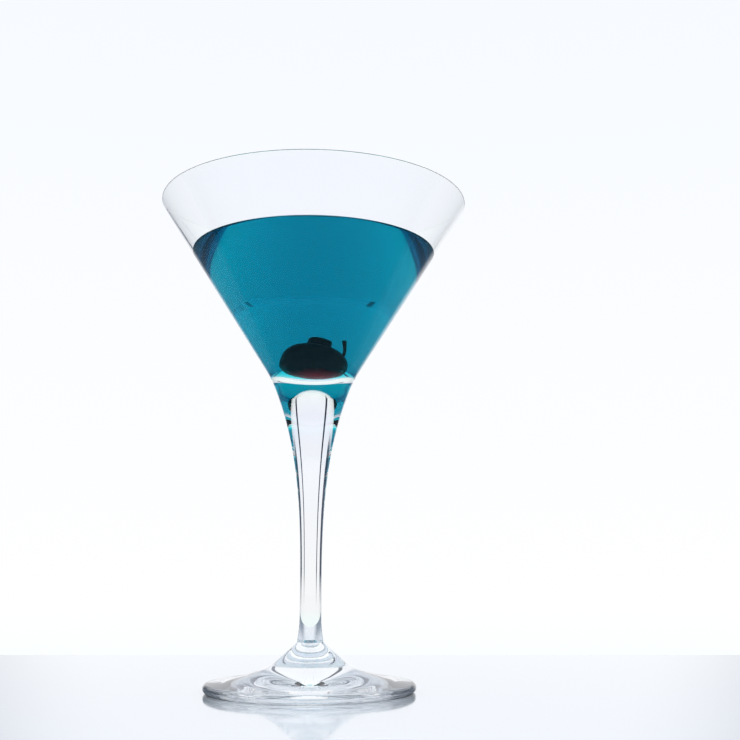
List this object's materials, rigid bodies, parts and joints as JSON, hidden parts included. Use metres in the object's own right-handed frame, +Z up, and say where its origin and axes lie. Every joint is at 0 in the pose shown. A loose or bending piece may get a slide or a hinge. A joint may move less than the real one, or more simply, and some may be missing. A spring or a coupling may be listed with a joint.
{
  "type": "martini glass",
  "caption": "Stemmed cocktail glass with a wide conical bowl, a flared solid stem and a low domed foot, holding a blue drink and a loose cherry that lifts out.",
  "frame": {"origin": "centre of the foot, on the surface that the glass stands on", "axes": "+Z up along the stem to the open mouth of the bowl, +X to the right as seen from the front"},
  "size_m": [0.115, 0.115, 0.1795],
  "materials": {
    "clear_glass": "polished clear glass",
    "blue_drink": "clear blue liquid",
    "cherry_flesh": "wet, slightly wrinkled skin",
    "dried_stalk": "dry and dull"
  },
  "bodies": {
    "glass": {"bowl": "clear_glass", "stem": "clear_glass", "foot": "clear_glass", "drink": "blue_drink"},
    "garnish": {"cherry": "cherry_flesh", "cherry_stalk": "dried_stalk"}
  },
  "joints": [
    {"name": "cherry_lift", "type": "slide", "parent": "glass", "child": "garnish", "axis": [0, 0, 1], "range_m": [0, 0.09], "deforming": ["drink"]}
  ]
}
